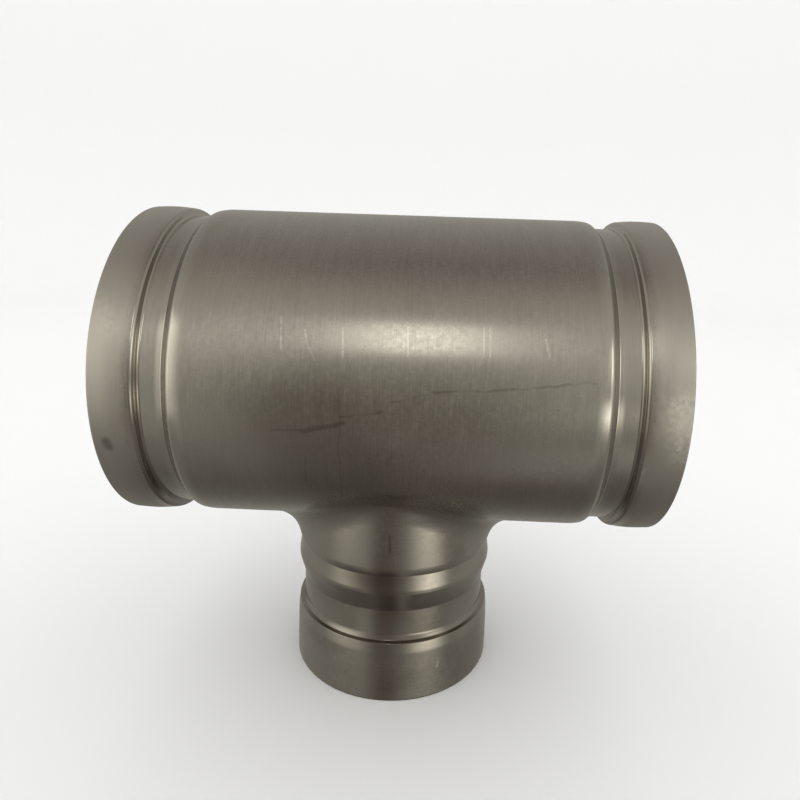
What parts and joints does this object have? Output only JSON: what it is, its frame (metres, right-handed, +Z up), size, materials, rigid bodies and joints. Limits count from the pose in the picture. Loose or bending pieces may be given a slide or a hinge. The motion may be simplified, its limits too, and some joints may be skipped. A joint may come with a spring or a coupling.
{
  "type": "grooved reducing tee",
  "caption": "Straight thin-walled main tube with a smaller branch blended into its side; every open end has a plain lip and a rolled coupling groove.",
  "frame": {"origin": "centre of the branch's end face, which the tee stands on", "axes": "+Z up along the branch axis, +X along the main tube, +Y across it"},
  "size_m": [0.1858, 0.1152, 0.1737],
  "materials": {
    "stainless": "satin, finely brushed around the tubes, with light scuffs"
  },
  "bodies": {
    "root": {"tee_body": "stainless"}
  },
  "joints": []
}
